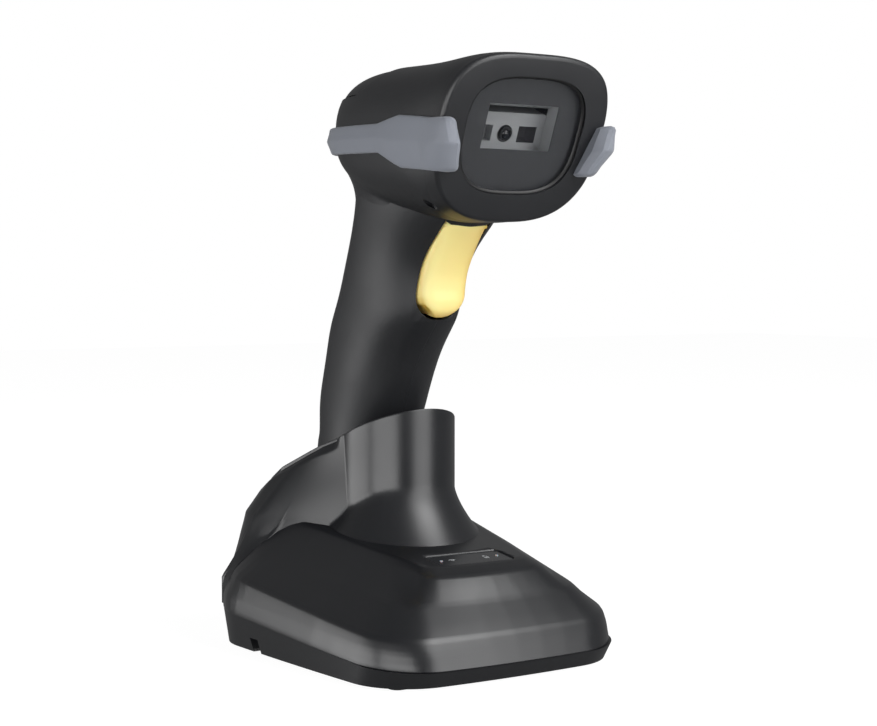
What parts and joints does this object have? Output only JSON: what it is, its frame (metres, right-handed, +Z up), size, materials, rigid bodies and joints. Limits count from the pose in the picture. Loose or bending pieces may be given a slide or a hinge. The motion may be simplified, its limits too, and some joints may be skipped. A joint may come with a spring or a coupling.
{
  "type": "handheld barcode scanner",
  "caption": "Pistol-grip barcode scanner with a trigger, a framed window and a bumper band, docked in a charging cradle.",
  "frame": {"origin": "on the surface that the feet stand on, under the middle of the object's box", "axes": "+X across, -Y the way the scanner looks, +Z up"},
  "size_m": [0.1132, 0.131, 0.2005],
  "materials": {
    "housing": "fine-textured black ABS",
    "gloss_black": "semi-gloss black ABS",
    "cradle": "semi-gloss, finely textured black ABS",
    "clear": "clear acrylic",
    "mask": "black print",
    "soft": "matte blue-grey elastomer",
    "black_rubber": "matte",
    "yellow": "satin yellow ABS",
    "metal": "zinc-plated or stainless steel",
    "aluminium": "bent sheet",
    "gold": "gold-plated",
    "board": "glass-fibre board with green mask",
    "module": "tinned screening can",
    "cell": "shrink-sleeved cell",
    "led": "milky light pipe",
    "ballast": "steel weight"
  },
  "bodies": {
    "cradle": {"cradle_top_shell": "cradle", "cradle_bottom_tray": "cradle", "cradle_board": "board", "usb_socket": "metal", "indicator_panel": "gloss_black", "status_light_pipes": "led", "contact_block": "mask", "pin_springs": "metal", "ballast_plate": "ballast", "rubber_feet": "black_rubber", "tray_screws": "metal"},
    "scanner": {"left_body_shell": "housing", "right_body_shell": "housing", "front_bezel": "gloss_black", "window_pane": "clear", "window_mask": "mask", "window_gasket": "black_rubber", "bumper_band": "soft", "rear_top_cap": "housing", "status_lens": "led", "engine_bracket": "aluminium", "engine_housing": "mask", "camera_lens": "clear", "illumination_lens": "clear", "aimer_lens": "clear", "main_board": "board", "radio_module": "module", "buzzer": "mask", "battery_cell": "cell", "handle_end_cap": "housing", "charge_contacts": "gold", "body_screws": "metal", "trigger_pin": "metal", "trigger_spring": "metal", "trigger_board": "board", "trigger_switch": "mask"},
    "trigger": {"trigger": "yellow"},
    "switch_plunger": {"switch_plunger": "mask"},
    "contact_pin_1": {"contact_pin_1": "gold"},
    "contact_pin_2": {"contact_pin_2": "gold"},
    "contact_pin_3": {"contact_pin_3": "gold"},
    "contact_pin_4": {"contact_pin_4": "gold"}
  },
  "joints": [
    {"name": "scanner_lift", "type": "slide", "parent": "cradle", "child": "scanner", "axis": [0, -0.1961, 0.9806], "range_m": [0, 0.12]},
    {"name": "trigger_pull", "type": "hinge", "parent": "scanner", "child": "trigger", "pos_m": [0, -0.014, 0.153], "axis": [1, 0, 0], "range_deg": [0, 5.5], "stiffness_Nm_per_rad": 0.6, "springref_deg": -11.46, "deforming": ["trigger_spring"]},
    {"name": "switch_press", "type": "slide", "parent": "scanner", "child": "switch_plunger", "axis": [0, 1, 0], "range_m": [0, 0.0026]},
    {"name": "contact_pin_1_press", "type": "slide", "parent": "cradle", "child": "contact_pin_1", "axis": [0, 0, 1], "range_m": [-0.001, 0], "stiffness_N_per_m": 150, "springref_m": 0.001, "deforming": ["pin_springs"]},
    {"name": "contact_pin_2_press", "type": "slide", "parent": "cradle", "child": "contact_pin_2", "axis": [0, 0, 1], "range_m": [-0.001, 0], "stiffness_N_per_m": 150, "springref_m": 0.001},
    {"name": "contact_pin_3_press", "type": "slide", "parent": "cradle", "child": "contact_pin_3", "axis": [0, 0, 1], "range_m": [-0.001, 0], "stiffness_N_per_m": 150, "springref_m": 0.001},
    {"name": "contact_pin_4_press", "type": "slide", "parent": "cradle", "child": "contact_pin_4", "axis": [0, 0, 1], "range_m": [-0.001, 0], "stiffness_N_per_m": 150, "springref_m": 0.001}
  ],
  "couplings": [
    {"joint": "switch_press", "follows": "trigger_pull", "m_per_rad": 0.026}
  ]
}
